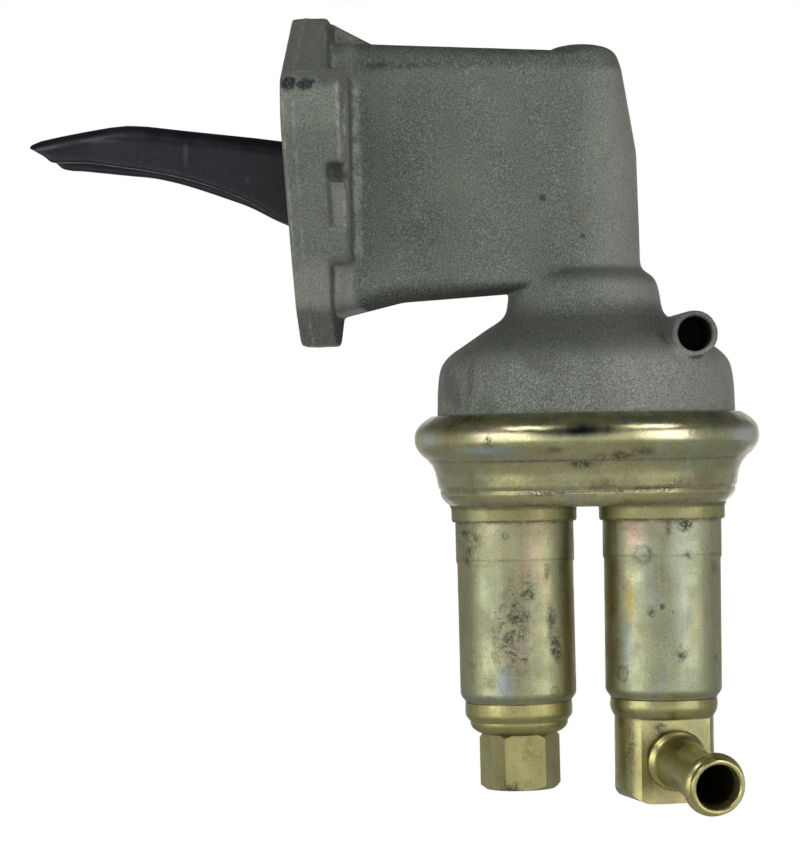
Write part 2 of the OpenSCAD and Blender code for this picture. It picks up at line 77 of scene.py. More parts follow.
# ------------------------------------------------------------------ node helper
class Mat:
    """A small builder for a procedural material. Positions are object coordinates in metres."""

    def __init__(self, name):
        self.m = bpy.data.materials.new(name)
        self.m.use_nodes = True
        self.t = self.m.node_tree
        self.t.nodes.clear()
        self.out = self.t.nodes.new("ShaderNodeOutputMaterial")
        self.bsdf = self.t.nodes.new("ShaderNodeBsdfPrincipled")
        self.t.links.new(self.bsdf.outputs[0], self.out.inputs[0])
        self.pos = self.t.nodes.new("ShaderNodeTexCoord").outputs["Object"]

    def link(self, a, b):
        if isinstance(a, (int, float)):
            b.default_value = a
        elif isinstance(a, (tuple, list)):
            b.default_value = (*a, 1.0) if len(b.default_value) == 4 and len(a) == 3 else a
        else:
            self.t.links.new(a, b)

    def scaled(self, sx, sy, sz, vec=None):
        n = self.t.nodes.new("ShaderNodeVectorMath")
        n.operation = "MULTIPLY"
        self.link(vec or self.pos, n.inputs[0])
        n.inputs[1].default_value = (sx, sy, sz)
        return n.outputs[0]

    def noise(self, scale, detail=2.0, rough=0.5, vec=None, dist=0.0):
        n = self.t.nodes.new("ShaderNodeTexNoise")
        self.link(vec or self.pos, n.inputs["Vector"])
        n.inputs["Scale"].default_value = scale
        n.inputs["Detail"].default_value = detail
        n.inputs["Roughness"].default_value = rough
        n.inputs["Distortion"].default_value = dist
        return n.outputs[0]

    def voronoi(self, scale, vec=None):
        n = self.t.nodes.new("ShaderNodeTexVoronoi")
        self.link(vec or self.pos, n.inputs["Vector"])
        n.inputs["Scale"].default_value = scale
        return n.outputs["Distance"]

    def ramp(self, fac, stops, mode="LINEAR"):
        n = self.t.nodes.new("ShaderNodeValToRGB")
        n.color_ramp.interpolation = mode
        e = n.color_ramp.elements
        while len(e) < len(stops):
            e.new(0.5)
        for el, (p, c) in zip(e, stops):
            el.position = p
            el.color = (c, c, c, 1) if isinstance(c, (int, float)) else (*c, 1)
        self.link(fac, n.inputs[0])
        return n.outputs[0]

    def span(self, v, a, b, c=0.0, d=1.0, smooth=True):
        n = self.t.nodes.new("ShaderNodeMapRange")
        n.interpolation_type = "SMOOTHSTEP" if smooth else "LINEAR"
        self.link(v, n.inputs[0])
        for i, x in enumerate((a, b, c, d)):
            n.inputs[i + 1].default_value = x
        return n.outputs[0]

    def math(self, op, a, b=0.0, c=0.0):
        n = self.t.nodes.new("ShaderNodeMath")
        n.operation = op
        self.link(a, n.inputs[0])
        self.link(b, n.inputs[1])
        if op in ("MULTIPLY_ADD", "SMOOTH_MIN"):
            self.link(c, n.inputs[2])
        return n.outputs[0]

    def mix(self, fac, a, b, mode="MIX"):
        n = self.t.nodes.new("ShaderNodeMix")
        n.data_type = "RGBA"
        n.blend_type = mode
        self.link(fac, n.inputs[0])
        self.link(a, n.inputs[6])
        self.link(b, n.inputs[7])
        return n.outputs[2]

    def axis(self, i, vec=None):
        n = self.t.nodes.new("ShaderNodeSeparateXYZ")
        self.link(vec or self.pos, n.inputs[0])
        return n.outputs[i]

    def blob(self, at, size, wobble=0.35, scale=900.0, power=1.0):
        """1 at a point given in mm, falling to 0 at its edge; size in mm, one number or three; the edge is ragged."""
        if isinstance(size, (int, float)):
            size = (size, size, size)
        v = self.t.nodes.new("ShaderNodeVectorMath")
        v.operation = "SUBTRACT"
        self.link(self.pos, v.inputs[0])
        v.inputs[1].default_value = [x / 1000 for x in at]
        s = self.scaled(*[1000 / x for x in size], vec=v.outputs[0])
        n = self.t.nodes.new("ShaderNodeVectorMath")
        n.operation = "LENGTH"
        self.link(s, n.inputs[0])
        d = n.outputs[1]
        if wobble:
            d = self.math("ADD", d, self.math("MULTIPLY", self.math("SUBTRACT", self.noise(scale, 3.0, 0.6), 0.5), 2 * wobble))
        return self.span(d, 1.0, 1.0 - power, 0.0, 1.0)

    def tube(self, at, axis, r, inside, depth=40.0):
        """1 inside a bore: at is its mouth in mm, axis points out of it, inside is how far in it starts."""
        def vec(op, a, b=None):
            n = self.t.nodes.new("ShaderNodeVectorMath")
            n.operation = op
            self.link(a, n.inputs[0])
            if b is not None:
                n.inputs[1].default_value = b
            return n
        rel = vec("SUBTRACT", self.pos, [x / 1000 for x in at]).outputs[0]
        away = vec("LENGTH", vec("CROSS_PRODUCT", rel, axis).outputs[0]).outputs[1]
        along = vec("DOT_PRODUCT", rel, axis).outputs[1]
        m = self.math("MULTIPLY", self.span(away, (r + 0.12) / 1000, r / 1000 - 0.00005), self.span(along, -(inside - 0.5) / 1000, -(inside + 0.9) / 1000))
        return self.math("MULTIPLY", m, self.span(along, -(depth + 0.5) / 1000, -depth / 1000))

    def box(self, lo, hi, edge=0.25):
        """1 inside a box given in mm, with soft edges."""
        m = None
        for i in range(3):
            v = self.axis(i)
            for a, b in ((lo[i] - edge, lo[i] + edge), (hi[i] + edge, hi[i] - edge)):
                q = self.span(v, a / 1000, b / 1000)
                m = q if m is None else self.math("MULTIPLY", m, q)
        return m

    def either(self, *masks):
        m = masks[0]
        for x in masks[1:]:
            m = self.math("MAXIMUM", m, x)
        return m

    def bump(self, height, distance, strength=1.0, normal=None):
        n = self.t.nodes.new("ShaderNodeBump")
        n.inputs["Strength"].default_value = strength
        n.inputs["Distance"].default_value = distance
        self.link(height, n.inputs["Height"])
        if normal is not None:
            self.link(normal, n.inputs["Normal"])
        return n.outputs[0]

    def set(self, **k):
        for name, v in k.items():
            self.link(v, self.bsdf.inputs[name.replace("_", " ")])
        return self.m


# ------------------------------------------------------------------ materials
def cast_grey():
    m = Mat("cast_grey")
    grain = m.noise(2900, 3.0, 0.75)
    speck = m.noise(1500, 3.0, 0.7)
    cloud = m.noise(60, 3.0, 0.55)
    c = m.ramp(cloud, [(0.3, (0.084, 0.101, 0.080)), (0.5, (0.108, 0.127, 0.100)), (0.72, (0.136, 0.153, 0.121))])
    # lighter towards the right end, on the ears, the bell and the lower flange: partly a cleaner skin, partly painted
    # light, most of all on the lower flange, whose faces turn down from the lamps
    cleaner_and_lit = m.either(m.span(m.axis(0), 0.060, 0.077), m.math("MULTIPLY", m.span(m.axis(0), 0.0145, 0.0125), 0.35), m.math("MULTIPLY", m.span(m.axis(2), -0.047, -0.053), 0.30), m.math("MULTIPLY", m.math("MULTIPLY", m.span(m.axis(0), 0.014, 0.012), m.span(m.axis(2), -0.026, -0.034)), 1.15))
    c = m.mix(m.math("MULTIPLY", cleaner_and_lit, 0.70), c, (0.270, 0.285, 0.240))
    # painted shade: a darker band where the column meets the shoulder and down the cone, faces that turn up from the
    # lamps
    shoulder_shade = m.math("MULTIPLY", m.span(m.axis(2), -0.0395, -0.0425), m.span(m.axis(2), -0.0540, -0.0475))
    c = m.mix(m.math("MULTIPLY", shoulder_shade, 0.78), c, (0.070, 0.075, 0.068))
    # painted shade: faces that look down are painted dark brown, and they are made dull
    nrm = m.t.nodes.new("ShaderNodeTexCoord").outputs["Normal"]
    under = m.math("MULTIPLY", m.span(m.axis(2, nrm), -0.25, -0.85), m.math("MULTIPLY", m.span(m.axis(2), -0.060, -0.055), m.span(m.axis(0), 0.0130, 0.0150)))
    c = m.mix(m.math("MULTIPLY", under, 0.72), c, (0.042, 0.042, 0.034))
    # painted shade, and dull, also on the faces that look back towards the body from the flange
    rear = m.math("MULTIPLY", m.span(m.axis(0, nrm), 0.55, 0.9), m.span(m.axis(0), 0.0150, 0.0142))
    side_y = m.math("ABSOLUTE", m.axis(1))
    rear = m.math("MULTIPLY", rear, m.span(side_y, 0.0210, 0.0155, 0.0, 1.0))
    c = m.mix(m.math("MULTIPLY", rear, 0.78), c, (0.036, 0.041, 0.036))
    shade = m.either(under, rear)
    # painted shade: darker under the body's top edge, along the top band that faces up from the lamps
    top = m.math("MULTIPLY", m.span(m.axis(2), 0.0110, 0.0132), m.span(m.axis(0), 0.0135, 0.0150))
    c = m.mix(m.math("MULTIPLY", top, 0.60), c, (0.045, 0.052, 0.046))
    # lighter places, painted highlights and wear: painted highlights on the lit fillet behind the ears, on the pads and
    # on the slope under each pocket; the ears' rear edges partly worn, partly a painted highlight; wear on the parting
    # line and the flange's front edge
    both = lambda x0, x1, y0, y1, z0, z1, e: m.either(*[m.box((x0, a, z0), (x1, b, z1), e) for a, b in ((-y1, -y0), (y0, y1))])
    wear_and_highlight = m.math("MULTIPLY", m.span(m.noise(380, 3.0, 0.65), 0.42, 0.60, 0.15, 1.0), 0.55)
    fillet = m.math("MULTIPLY", both(13.4, 15.3, 12.2, 17.5, -30.0, 9.0, 0.35), wear_and_highlight)
    edge = m.math("MULTIPLY", both(12.1, 13.8, 21.0, 42.0, -24.0, 6.0, 0.3), m.math("MULTIPLY", wear_and_highlight, 1.5))
    pad = m.math("MULTIPLY", both(10.2, 12.9, 24.0, 45.0, -23.2, -15.2, 0.4), 0.38)
    below = m.either(*[m.math("MULTIPLY", m.blob((10.9, sy * 35.0, -25.8), (3.2, 9.0, 2.1), 0.5, 600, 0.8), 0.55) for sy in (-1, 1)])
    line = m.math("MULTIPLY", m.math("MULTIPLY", m.span(m.axis(0), 0.0024, 0.0028), m.span(m.axis(0), 0.0036, 0.0031)), m.math("MULTIPLY", wear_and_highlight, 0.9))
    front = m.math("MULTIPLY", both(0.5, 1.0, 18.0, 42.0, -30.0, 3.5, 0.2), m.math("MULTIPLY", wear_and_highlight, 1.2))
    c = m.mix(m.either(fillet, edge, pad, below, line, front), c, (0.330, 0.350, 0.295))
    # grain of the blasted skin: light tips and dark hollows
    c = m.mix(m.math("MULTIPLY", m.span(grain, 0.50, 0.72, smooth=False), 0.85), c, (0.320, 0.338, 0.280))
    c = m.mix(m.math("MULTIPLY", m.span(grain, 0.49, 0.28, smooth=False), 0.85), c, (0.032, 0.038, 0.034))
    c = m.mix(m.math("MULTIPLY", m.span(speck, 0.58, 0.72), 0.50), c, (0.052, 0.060, 0.056))
    # coarser crystals on the bell, the bright ones partly painted glints
    bell = m.span(m.axis(2), -0.0500, -0.0560)
    coarse = m.noise(2300, 3.0, 0.75)
    c = m.mix(m.math("MULTIPLY", m.math("MULTIPLY", m.span(coarse, 0.52, 0.68), bell), 0.55), c, (0.430, 0.445, 0.390))
    c = m.mix(m.math("MULTIPLY", m.math("MULTIPLY", m.span(coarse, 0.49, 0.34), bell), 0.60), c, (0.040, 0.043, 0.040))
    # painted shade: the bell darker towards its left, in cloudy patches
    bell_left_shade = m.math("MULTIPLY", m.math("MULTIPLY", m.span(m.noise(75, 3.0, 0.6, dist=0.8), 0.44, 0.62), m.span(m.axis(0), 0.078, 0.045)), bell)
    c = m.mix(m.math("MULTIPLY", bell_left_shade, 0.50), c, (0.050, 0.052, 0.046))
    # painted glints: fine bright dots all over the casting
    spark = m.math("MULTIPLY", m.span(m.noise(3600, 1.0, 0.5), 0.70, 0.76), 0.55)
    c = m.mix(spark, c, (0.42, 0.44, 0.38))
    # greenish and brownish films
    c = m.mix(m.math("MULTIPLY", m.span(m.noise(110, 3.0, 0.6), 0.55, 0.75), 0.30), c, (0.128, 0.116, 0.080))
    c = m.mix(m.math("MULTIPLY", m.span(m.noise(55, 2.0, 0.5), 0.56, 0.78), 0.25), c, (0.080, 0.108, 0.104))
    # black dirt on the near ear, a smudge under the top edge whose long faint tail is a painted shadow line, and a few
    # pits
    rag = m.span(m.noise(1250, 4.0, 0.75), 0.36, 0.50, 0.30, 1.0)
    dirt = m.either(m.blob((2.0, -39.0, 6.4), (2.4, 5.5, 2.1), 0.50, 800, 0.55), m.blob((5.6, -39.0, 6.2), (3.0, 5.5, 1.7), 0.50, 800, 0.55),
                    m.math("MULTIPLY", m.blob((9.6, -38.0, 6.4), (3.2, 4.5, 1.7), 0.5, 600, 0.8), 0.35))
    smudge_and_shadow_line = m.either(m.blob((19.3, -12.8, 13.0), (4.4, 4.5, 1.5), 0.45, 700, 0.8), m.math("MULTIPLY", m.blob((27.0, -12.8, 12.9), (12.0, 4.5, 1.0), 0.5, 500, 0.9), 0.55))
    c = m.mix(m.math("MULTIPLY", m.math("MULTIPLY", dirt, rag), 0.97), c, (0.008, 0.008, 0.015))
    c = m.mix(m.math("MULTIPLY", m.math("MULTIPLY", smudge_and_shadow_line, rag), 0.80), c, (0.022, 0.023, 0.028))
    scratch = m.box((3.3, -37, 9.0), (6.9, -20, 9.25), 0.12)
    c = m.mix(m.math("MULTIPLY", scratch, 0.6), c, (0.30, 0.31, 0.28))
    pits = m.either(*[m.blob(p, r, 0.3, 1500, 0.6) for p, r in (
        ((55.6, -13.0, -17.4), 1.0), ((64.5, -13.0, -26.2), 0.7), ((72.5, -11.0, -7.6), 0.8), ((10.9, -30.5, -21.4), 0.8))])
    c = m.mix(m.math("MULTIPLY", pits, 0.75), c, (0.022, 0.024, 0.026))
    # painted shade in corners: behind the ears, in their pockets and where the column meets its foot
    pocket = m.either(*[m.box((9.3, a, -13.9), (13.0, b, -10.8), 0.8) for a, b in ((-45, -20), (20, 45))])
    gap = m.either(*[m.box((9.0, a, -24.0), (9.95, b, -14.2), 0.2) for a, b in ((-45, -18), (18, 45))])
    c = m.mix(m.math("MULTIPLY", m.either(pocket, gap), 0.50), c, (0.036, 0.040, 0.036))
    foot = m.math("MULTIPLY", m.span(m.axis(2), -0.0375, -0.0352), m.span(m.axis(2), -0.0320, -0.0336))
    foot = m.math("MULTIPLY", foot, m.span(m.axis(0), 0.052, 0.060))
    c = m.mix(m.math("MULTIPLY", foot, 0.45), c, (0.045, 0.050, 0.044))
    # painted shade: the inside of the side bore is painted near black
    bore = m.tube((88.75, -24.0, -48.8), (math.sin(9 * RAD), -math.cos(9 * RAD), 0), 3.95, 0.8, 13.0)
    c = m.mix(m.math("MULTIPLY", bore, 0.93), c, (0.006, 0.006, 0.006))
    h = m.math("ADD", m.math("MULTIPLY", grain, 0.6), m.math("MULTIPLY", speck, 0.8))
    h = m.math("SUBTRACT", h, m.math("MULTIPLY", pits, 1.5))
    b = m.bump(h, 0.00024, 0.85)
    b = m.bump(m.noise(210, 2.0, 0.5), 0.0004, 0.35, b)
    dull = m.either(bore, shade)
    return m.set(Base_Color=c, Metallic=m.span(dull, 0.0, 1.0, 0.25, 0.0), Roughness=m.math("MAXIMUM", m.span(speck, 0.3, 0.7, 0.60, 0.46), m.math("MULTIPLY", dull, 0.9)),
                 Specular_IOR_Level=m.span(dull, 0.0, 1.0, 0.42, 0.03), Normal=b)


def black_steel():
    m = Mat("black_steel")
    n = m.noise(60, 3.0, 0.6)
    c = m.ramp(n, [(0.35, (0.006, 0.007, 0.010)), (0.65, (0.014, 0.0165, 0.023))])
    c = m.mix(m.math("MULTIPLY", m.span(m.noise(1500, 2.0, 0.6), 0.58, 0.75), 0.5), c, (0.05, 0.052, 0.06))
    # long pale scratch and rubbed spots
    scratch = m.blob((-25.5, -7.0, -4.8), (1.0, 1.5, 3.6), 0.5, 500, 0.8)
    rub = m.either(m.blob((-45, -7, -1.5), (6, 1.5, 0.8), 0.7, 300, 0.9), m.blob((-11.5, -7, -11.0), (1.2, 2, 1.2), 0.5, 700, 0.8))
    c = m.mix(m.math("MULTIPLY", m.either(scratch, rub), 0.5), c, (0.075, 0.080, 0.095))
    # darker towards the end at the flange
    c = m.mix(m.math("MULTIPLY", m.span(m.axis(0), -0.022, -0.004), 0.65), c, (0.003, 0.0035, 0.005))
    b = m.bump(m.noise(1400, 2.0, 0.6), 0.00006, 0.5)
    b = m.bump(m.noise(90, 2.0, 0.5), 0.0005, 0.25, b)
    return m.set(Base_Color=c, Metallic=0.35, Roughness=m.span(m.noise(160, 3.0, 0.6), 0.3, 0.7, 0.30, 0.46), Normal=b)


def zinc(name, tone=(1.0, 1.0, 1.0), stains=(), rings=(), tints=(), bands=(), rough=(0.36, 0.54), lines=0.6, dust=0.35, bore=None, late=()):
    m = Mat(name)
    t = lambda c: tuple(x * y for x, y in zip(c, tone))
    wide = m.noise(38, 3.0, 0.55, dist=0.6)
    c = m.ramp(wide, [(0.30, t((0.275, 0.290, 0.165))), (0.50, t((0.325, 0.330, 0.190))), (0.70, t((0.365, 0.365, 0.222)))])
    # soft streaks along the drawing direction
    streak = m.noise(1, 3.0, 0.6, vec=m.scaled(420, 420, 24))
    c = m.mix(m.math("MULTIPLY", m.span(streak, 0.52, 0.72), 0.40), c, t((0.43, 0.435, 0.280)))
    c = m.mix(m.math("MULTIPLY", m.span(streak, 0.46, 0.28), 0.40), c, t((0.215, 0.215, 0.120)))
    # warm, greenish and bluish films of the passivated zinc
    film = m.noise(80, 2.0, 0.5, dist=1.0)
    c = m.mix(m.math("MULTIPLY", m.span(film, 0.56, 0.72), 0.45), c, t((0.400, 0.310, 0.190)))
    c = m.mix(m.math("MULTIPLY", m.span(film, 0.42, 0.30), 0.40), c, t((0.265, 0.345, 0.270)))
    c = m.mix(m.math("MULTIPLY", m.span(m.noise(115, 2.0, 0.5, dist=0.8), 0.62, 0.76), 0.38), c, t((0.255, 0.300, 0.335)))
    c = m.mix(m.math("MULTIPLY", m.span(m.noise(66, 2.0, 0.5, dist=0.8), 0.60, 0.74), 0.35), c, t((0.400, 0.350, 0.130)))
    # tints of the plating; some, noted where the parts are given, are painted shade or painted highlights
    for at, size, amount, col in tints:
        c = m.mix(m.math("MULTIPLY", m.blob(at, size, 0.30, 180, 0.95), amount), c, col)
    # bands round the part; on the cover the one at its rim's top is painted shade
    for z0, z1, edge, amount, col in bands:
        k = m.math("MULTIPLY", m.span(m.axis(2), (z0 - edge) / 1000, (z0 + edge) / 1000), m.span(m.axis(2), (z1 + edge) / 1000, (z1 - edge) / 1000))
        k = m.math("MULTIPLY", k, m.span(m.noise(330, 4.0, 0.7), 0.36, 0.60, 0.12, 1.0))
        c = m.mix(m.math("MULTIPLY", k, amount), c, col)
    # fine grain all over
    g = m.noise(2700, 3.0, 0.7)
    c = m.mix(m.math("MULTIPLY", m.span(g, 0.50, 0.75, smooth=False), 0.40), c, t((0.50, 0.50, 0.35)))
    c = m.mix(m.math("MULTIPLY", m.span(g, 0.50, 0.25, smooth=False), 0.45), c, t((0.13, 0.13, 0.075)))
    # fine dark specks and haze
    speck = m.math("MULTIPLY", m.span(m.noise(1700, 3.0, 0.7), 0.60, 0.70), m.span(m.noise(90, 3.0, 0.6), 0.44, 0.60))
    c = m.mix(m.math("MULTIPLY", speck, 0.75), c, (0.035, 0.034, 0.028))
    haze = m.span(m.noise(210, 4.0, 0.62), 0.50, 0.78)
    c = m.mix(m.math("MULTIPLY", haze, dust), c, t((0.215, 0.222, 0.150)))
    # painted highlights and reflections, laid over the finish
    for at, size, amount, col in late:
        c = m.mix(m.math("MULTIPLY", m.blob(at, size, 0.28, 160, 0.9), amount), c, col)
    dark = None
    torn = m.span(m.noise(240, 4.0, 0.75, dist=1.2), 0.43, 0.57, 0.10, 1.0)
    dots = m.span(m.noise(1500, 5.0, 0.8), 0.40, 0.54, 0.12, 1.0)
    for at, size, amount in stains:
        b = m.math("MULTIPLY", m.blob(at, [x * 1.25 for x in size], 0.85, 330, 0.9), amount)
        b = m.math("MULTIPLY", b, dots)
        if min(size) > 1.9:
            b = m.math("MULTIPLY", b, torn)
        dark = b if dark is None else m.either(dark, b)
    for at, r in rings:
        inner = m.blob(at, r * 0.70, 0.40, 620, 0.40)
        outer = m.blob(at, r, 0.42, 620, 0.40)
        b = m.math("MULTIPLY", m.math("SUBTRACT", outer, m.math("MULTIPLY", inner, 0.70)), 0.62)
        b = m.math("MULTIPLY", b, m.span(m.noise(1300, 3.0, 0.7), 0.36, 0.56, 0.35, 1.0))
        dark = b if dark is None else m.either(dark, b)
    r = m.span(m.noise(160, 3.0, 0.6), 0.3, 0.7, rough[0], rough[1])
    if dark is not None:
        c = m.mix(dark, c, (0.040, 0.042, 0.038))
        r = m.math("MAXIMUM", r, m.math("MULTIPLY", dark, 0.62))
    # painted shade: the inside of the bore is painted near black
    if bore is not None:
        hole = m.tube(*bore)
        c = m.mix(m.math("MULTIPLY", hole, 0.95), c, (0.008, 0.007, 0.005))
        r = m.math("MAXIMUM", r, m.math("MULTIPLY", hole, 0.8))
    b = m.bump(g, 0.00003, 0.7)
    if lines:
        b = m.bump(m.noise(1, 3.0, 0.6, vec=m.scaled(1500, 1500, 45)), 0.00003 * lines, 0.8, b)
    b = m.bump(m.noise(75, 2.0, 0.5), 0.0004, 0.22, b)
    return m.set(Base_Color=c, Metallic=0.92, Roughness=r, Normal=b)


def simple(name, col, col2, metallic, rough, scale=400, bump=0.00004):
    m = Mat(name)
    c = m.mix(m.noise(scale, 3.0, 0.6), col, col2)
    return m.set(Base_Color=c, Metallic=metallic, Roughness=m.span(m.noise(scale * 0.4, 3.0, 0.6), 0.3, 0.7, rough - 0.07, rough + 0.09),
                 Normal=m.bump(m.noise(1500, 3.0, 0.6), bump, 0.6))


def put(node, material):
    o = NODES[node]
    o.data.materials.clear()
    o.data.materials.append(material)


CANL, CANR = 47.45, 80.95
cast = cast_grey()
steel_black = black_steel()
# PEACH, SILVER and BLACKBLUE are the colours of painted highlights and a painted reflection on the cover's rim
GOLD, PINK, BLUE, BLACKBLUE = (0.30, 0.235, 0.070), (0.44, 0.30, 0.23), (0.25, 0.32, 0.37), (0.012, 0.016, 0.026)
BROWN, PEACH, SILVER = (0.13, 0.10, 0.040), (0.80, 0.62, 0.46), (0.56, 0.63, 0.66)
can_l = zinc("zinc_left_canister", bands=[(-90.1, -88.4, 0.45, 0.95, (0.045, 0.036, 0.018)), (-98.5, -97.9, 0.15, 0.55, (0.16, 0.15, 0.09)), (-92.0, -88.0, 1.5, 0.25, (0.36, 0.31, 0.19))], stains=[
    ((37.0, -9.5, -94.0), (4.4, 8, 6.0), 0.95), ((47.3, -13.4, -112.5), (4.6, 4, 10.5), 0.95), ((47.5, -13.4, -119.5), (4.4, 4, 6.5), 0.90),
    ((50.4, -13.2, -105.0), (3.2, 4, 4.6), 0.95), ((43.5, -12.9, -116.0), (1.6, 3, 7.0), 0.5), ((38.5, -9.5, -121.0), (4.5, 6, 3.0), 0.4), ((55.8, -10.5, -111.5), (1.3, 3, 4.0), 0.85), ((56.8, -9.8, -118.0), (1.6, 3, 4.4), 0.90),
    ((55.0, -11, -101), (0.7, 3, 3.0), 0.6), ((41, -11.5, -125), (5, 3, 2), 0.35), ((58.5, -7.0, -108), (1.4, 4, 20), 0.35)],
    rings=[((46.0, -13.4, -92.6), 1.0), ((56.3, -10, -127.6), 1.5), ((43.0, -12.6, -119.5), 1.3)],
    # the GOLD tints at x 60.3 and 34.5 down the two edges are painted shade, darkest on the edge that faces the other
    # canister
    tints=[((60.3, -4, -110), (3.4, 9, 36), 1.0, GOLD), ((34.5, -4, -110), (2.4, 9, 36), 0.6, GOLD), ((54.5, -11, -104), (2.2, 6, 14), 0.5, (0.40, 0.34, 0.15)), ((39.5, -10, -102), (2.5, 6, 12), 0.45, (0.40, 0.36, 0.17)), ((52, -13, -98), (5, 4, 10), 0.5, PINK),
           ((45.5, -13, -126), (3.2, 4, 6), 0.7, BLUE), ((40, -11.5, -108), (4, 4, 14), 0.35, (0.30, 0.35, 0.25)), ((48, -13, -118), (4, 4, 6), 0.5, PINK)], lines=1.0)
can_r = zinc("zinc_right_canister", tone=(0.98, 1.01, 1.07), bands=[(-90.2, -88.4, 0.45, 0.97, (0.040, 0.032, 0.016)), (-97.9, -97.3, 0.15, 0.5, (0.16, 0.15, 0.09)), (-92.0, -88.0, 1.5, 0.35, (0.36, 0.31, 0.19))], stains=[
    ((86.3, -12.2, -90.6), (3.4, 3, 1.5), 0.95), ((82.2, -13.2, -91.5), (1.2, 3, 3.6), 0.80), ((84.5, -13.0, -119.8), (2.0, 3, 2.2), 0.95), ((76.0, -12.5, -88.6), (9, 4, 0.6), 0.7),
    ((78.0, -13.0, -110.2), (1.1, 3, 1.3), 1.0), ((80.6, -13.3, -109.0), (0.8, 3, 1.0), 1.0), ((82.9, -13.3, -110.0), (0.5, 3, 0.7), 0.9), ((76, -12.4, -97.8), (3.0, 3, 2.4), 0.55),
    ((86.2, -12.4, -97.5), (1.3, 3, 1.3), 0.9), ((92.5, -6.5, -100.5), (1.2, 4, 2.0), 0.6), ((70.2, -8.5, -100), (1.0, 4, 22), 0.45)],
    rings=[((71.5, -9.4, -124.0), 2.2), ((93.0, -6.0, -121.0), 1.2), ((76.5, -12.6, -97.2), 2.6)],
    # the GOLD tints at x 68.3 and 94.3 down the two edges are painted shade, darkest on the edge that faces the other
    # canister; the pale streak at x 84.5 is a painted highlight
    tints=[((68.3, -4, -108), (4.8, 10, 38), 1.0, GOLD), ((94.3, -4, -108), (2.0, 9, 40), 0.8, GOLD), ((73.5, -10, -107), (2.2, 6, 9), 0.8, (0.42, 0.33, 0.10)), ((88.5, -11, -112), (2.0, 6, 10), 0.45, (0.40, 0.36, 0.17)), ((74.5, -12, -92.5), (4.5, 5, 5.5), 0.8, PINK),
           ((84.5, -13, -105), (2.8, 4, 24), 0.55, (0.38, 0.40, 0.35)), ((77, -12.5, -104), (3, 4, 16), 0.4, (0.28, 0.33, 0.30)), ((72.5, -10, -118), (2.0, 5, 10), 0.5, BLUE), ((79, -13, -112), (6, 6, 26), 0.30, (0.27, 0.28, 0.16))], lines=1.0)
cover_m = zinc("zinc_cover", tone=(1.22, 1.18, 1.07), stains=[
    ((27.5, -18, -76.0), (3.0, 16, 2.6), 0.85), ((32.0, -24, -84.0), (3.0, 16, 1.9), 0.8), ((43.5, -31, -71.6), (1.7, 6, 1.8), 0.9), ((63.3, -38, -77.0), (5.2, 6, 1.2), 0.9),
    ((72.0, -37, -75.0), (2.4, 6, 1.4), 0.7), ((77.0, -36, -74.2), (3.2, 6, 1.0), 0.7), ((40.0, -30, -80.6), (2.8, 6, 1.3), 0.85), ((36.0, -29, -83.4), (2.8, 6, 1.5), 0.8),
    ((53.0, -33, -83.0), (11, 10, 0.7), 0.8), ((79.0, -33, -82.6), (13, 10, 0.8), 0.8), ((52.0, -36, -76.0), (24, 9, 0.4), 0.5), ((85.0, -30, -81.0), (6, 8, 1.2), 0.6), ((98, -20, -76), (3, 12, 4), 0.4),
    ((68.0, -33, -81.4), (3.5, 8, 1.8), 0.6), ((88.0, -31, -70.5), (3.5, 8, 1.2), 0.5), ((58.0, -38, -73.8), (2.6, 6, 0.9), 0.5)],
    rings=[((67.5, -36.5, -75.8), 1.7), ((49.5, -35, -79.0), 1.3)],
    tints=[((45, -32, -74.0), (12, 9, 2.0), 0.6, BLUE), ((80, -33, -78.0), (14, 9, 2.4), 0.6, (0.42, 0.33, 0.17)), ((50, -33, -78.5), (14, 9, 2.2), 0.55, (0.40, 0.32, 0.17)),
           # the golden tints at x 82 and 44 low on the cover are painted highlights along its bottom edge
           ((64, -38, -75.6), (30, 12, 0.5), 0.5, PINK), ((82, -30, -84.2), (14, 9, 1.3), 0.7, (0.46, 0.37, 0.15)), ((44, -30, -84.2), (14, 9, 1.3), 0.7, (0.46, 0.37, 0.15)),
           ((56, -36, -73.5), (8, 9, 1.6), 0.6, GOLD), ((74, -36, -72.8), (9, 9, 1.5), 0.5, GOLD), ((36, -28, -79), (5, 9, 3), 0.5, BROWN), ((92, -26, -80), (5, 12, 3), 0.45, BROWN)],
    # the band from z -67.1 to -64.0 is painted shade on the rim's top, which faces up from the lamps
    bands=[(-82.6, -79.0, 1.2, 0.30, (0.17, 0.15, 0.075)), (-67.1, -64.0, 0.3, 0.50, (0.12, 0.10, 0.055)), (-83.2, -82.4, 0.35, 0.45, BROWN), (-76.3, -75.8, 0.15, 0.6, (0.16, 0.115, 0.085)), (-85.8, -84.9, 0.4, 0.45, (0.15, 0.125, 0.060))],
    # painted highlights: PEACH and SILVER spots of the lamps on the rim and its ends; BLACKBLUE is a painted dark
    # reflection across the rim's middle
    late=[((44.5, -34, -69.6), (10, 10, 1.9), 0.55, PEACH), ((83, -34, -70.6), (11, 10, 2.3), 0.55, PEACH), ((28.5, -20, -71.0), (5.5, 16, 3.6), 0.60, SILVER), ((99.5, -18, -71.0), (5.5, 16, 4.2), 0.60, SILVER),
          ((63.0, -38, -69.7), (13.5, 8, 2.5), 1.0, BLACKBLUE), ((40, -32, -73.6), (9, 10, 1.4), 0.40, SILVER)],
    rough=(0.20, 0.36), lines=0.0, dust=0.45)
collar_m = zinc("zinc_collars", tone=(0.92, 0.87, 0.70), bands=[(-90.4, -89.2, 0.2, 0.7, (0.08, 0.065, 0.035)), (-86.9, -85.9, 0.3, 0.6, (0.10, 0.09, 0.05))], rough=(0.40, 0.56), lines=0.0)
